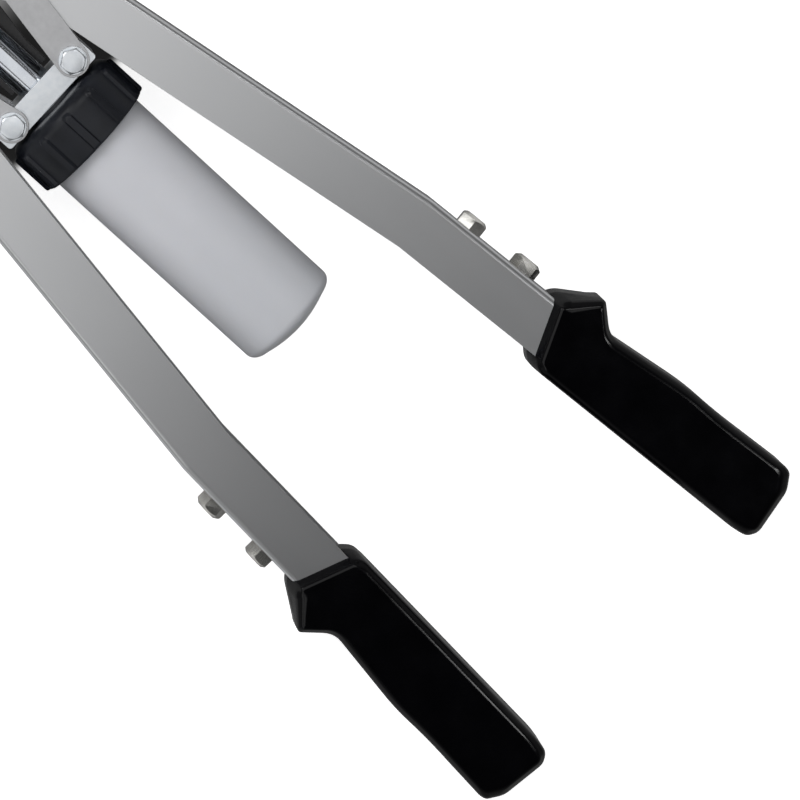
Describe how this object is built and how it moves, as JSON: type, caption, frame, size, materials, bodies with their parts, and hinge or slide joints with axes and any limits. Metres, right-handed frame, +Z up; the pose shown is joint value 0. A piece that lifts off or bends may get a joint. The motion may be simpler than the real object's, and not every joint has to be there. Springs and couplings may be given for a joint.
{
  "type": "lever hand riveter",
  "caption": "Hand tool that sets pull rivets: long folded-sheet arms with black grips, linked to a pull tube and a bottle that catches the spent mandrels.",
  "frame": {"origin": "centre of the mouth of the nosepiece in use", "axes": "+X out of the nose along the pull tube's axis, +Z up from the tool's flat side, along the arm pivots; the arms are closed"},
  "size_m": [0.4867, 0.1956, 0.06],
  "materials": {
    "nickel": "bright nickel plate",
    "zinc": "bright zinc plate, smooth",
    "link_steel": "zinc plate, slightly dull",
    "arm_steel": "satin nickel plate",
    "chrome": "polished chrome plate",
    "tool_steel": "hardened steel, ground",
    "spring_steel": "drawn wire",
    "black_paint": "gloss black",
    "cap_black": "moulded, slightly glossy",
    "bottle_milky": "milky translucent, slightly glossy",
    "grip_black": "dipped gloss black"
  },
  "bodies": {
    "head": {"nosepiece": "nickel", "nose_sleeve": "zinc", "lock_ring": "zinc", "head_body": "black_paint", "guide_plate": "black_paint", "arm_pivot_bolts": "zinc", "arm_pivot_washers": "zinc", "arm_pivot_nuts": "zinc"},
    "arm_a": {"arm_a": "arm_steel", "link_spacer_a": "zinc", "link_bolt_a": "zinc", "link_washers_a": "zinc", "link_nut_a": "zinc", "spare_nosepiece_a1": "nickel", "spare_nosepiece_a2": "nickel", "grip_a": "grip_black"},
    "arm_b": {"arm_b": "arm_steel", "link_spacer_b": "zinc", "link_bolt_b": "zinc", "link_washers_b": "zinc", "link_nut_b": "zinc", "spare_nosepiece_b1": "nickel", "spare_nosepiece_b2": "nickel", "grip_b": "grip_black"},
    "slider": {"pull_tube": "chrome", "jaw_case": "tool_steel", "jaw_spring": "spring_steel", "yoke": "zinc", "yoke_bolts": "zinc", "yoke_washers": "zinc", "yoke_nuts": "zinc", "cap_nut": "zinc", "bottle_cap": "cap_black"},
    "jaws": {"jaws": "tool_steel", "jaw_pusher": "tool_steel"},
    "link_a": {"link_a_top": "link_steel", "link_a_bottom": "link_steel"},
    "link_b": {"link_b_top": "link_steel", "link_b_bottom": "link_steel"},
    "bottle": {"bottle": "bottle_milky"}
  },
  "joints": [
    {"name": "arm_a_hinge", "type": "hinge", "parent": "head", "child": "arm_a", "pos_m": [-0.062, -0.0135, 0], "axis": [0, 0, 1], "range_deg": [0, 40]},
    {"name": "arm_b_hinge", "type": "hinge", "parent": "head", "child": "arm_b", "pos_m": [-0.062, 0.0135, 0], "axis": [0, 0, -1], "range_deg": [0, 40]},
    {"name": "yoke_slide", "type": "slide", "parent": "head", "child": "slider", "axis": [1, 0, 0], "range_m": [0, 0.0125]},
    {"name": "link_a_swing", "type": "hinge", "parent": "slider", "child": "link_a", "pos_m": [-0.1279, -0.019, 0], "axis": [0, 0, -1], "range_deg": [0, 2.6]},
    {"name": "link_b_swing", "type": "hinge", "parent": "slider", "child": "link_b", "pos_m": [-0.1279, 0.019, 0], "axis": [0, 0, 1], "range_deg": [0, 2.6]},
    {"name": "jaw_release", "type": "slide", "parent": "slider", "child": "jaws", "axis": [-1, 0, 0], "range_m": [0, 0.003], "stiffness_N_per_m": 3000, "springref_m": -0.004, "deforming": ["jaw_spring"]},
    {"name": "bottle_off", "type": "slide", "parent": "slider", "child": "bottle", "axis": [-1, 0, 0], "range_m": [0, 0.03]}
  ],
  "couplings": [
    {"joint": "arm_b_hinge", "follows": "arm_a_hinge", "ratio": 1},
    {"joint": "yoke_slide", "follows": "arm_a_hinge", "m_per_rad": 0.017832},
    {"joint": "link_a_swing", "follows": "arm_a_hinge", "ratio": 0.064},
    {"joint": "link_b_swing", "follows": "arm_a_hinge", "ratio": 0.064}
  ]
}
